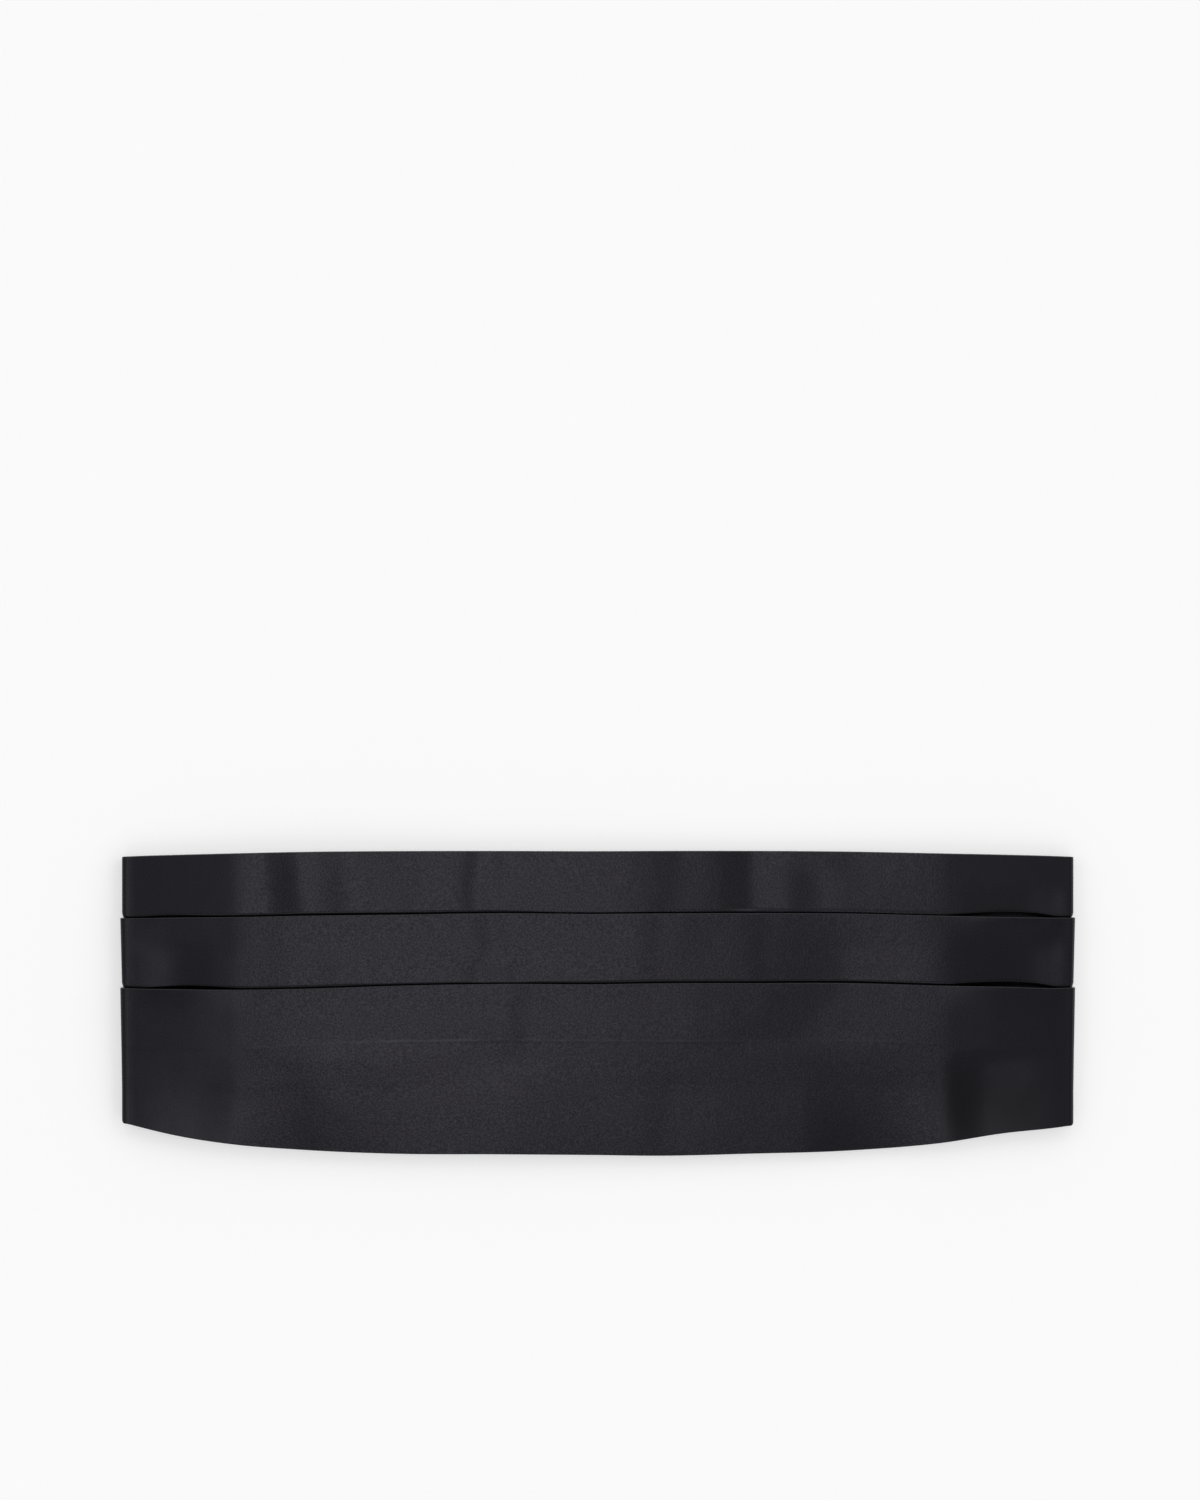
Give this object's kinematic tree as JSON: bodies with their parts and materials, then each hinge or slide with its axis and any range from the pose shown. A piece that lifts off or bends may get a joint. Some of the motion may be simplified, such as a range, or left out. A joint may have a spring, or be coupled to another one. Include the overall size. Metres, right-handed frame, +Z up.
{
  "type": "cummerbund",
  "caption": "Pleated satin cummerbund, fastened behind and laid flat; worn round the waist over a dress shirt.",
  "frame": {"origin": "on the table under the middle of the laid cummerbund's bounding box", "axes": "+X along the front to the right, +Y towards the top hem, +Z up from the table, out of the satin face"},
  "size_m": [0.4, 0.1278, 0.0107],
  "materials": {
    "satin": "black satin, soft sheen",
    "lining": "matte black lining",
    "elastic": "black woven elastic",
    "clasp_metal": "dull nickel finish"
  },
  "bodies": {
    "root": {"top_pleat": "satin", "middle_pleat": "satin", "lower_pleat": "satin", "backing": "lining", "strap_left": "elastic", "strap_right": "elastic", "clasp_eye": "clasp_metal", "clasp_hook": "clasp_metal"}
  },
  "joints": []
}
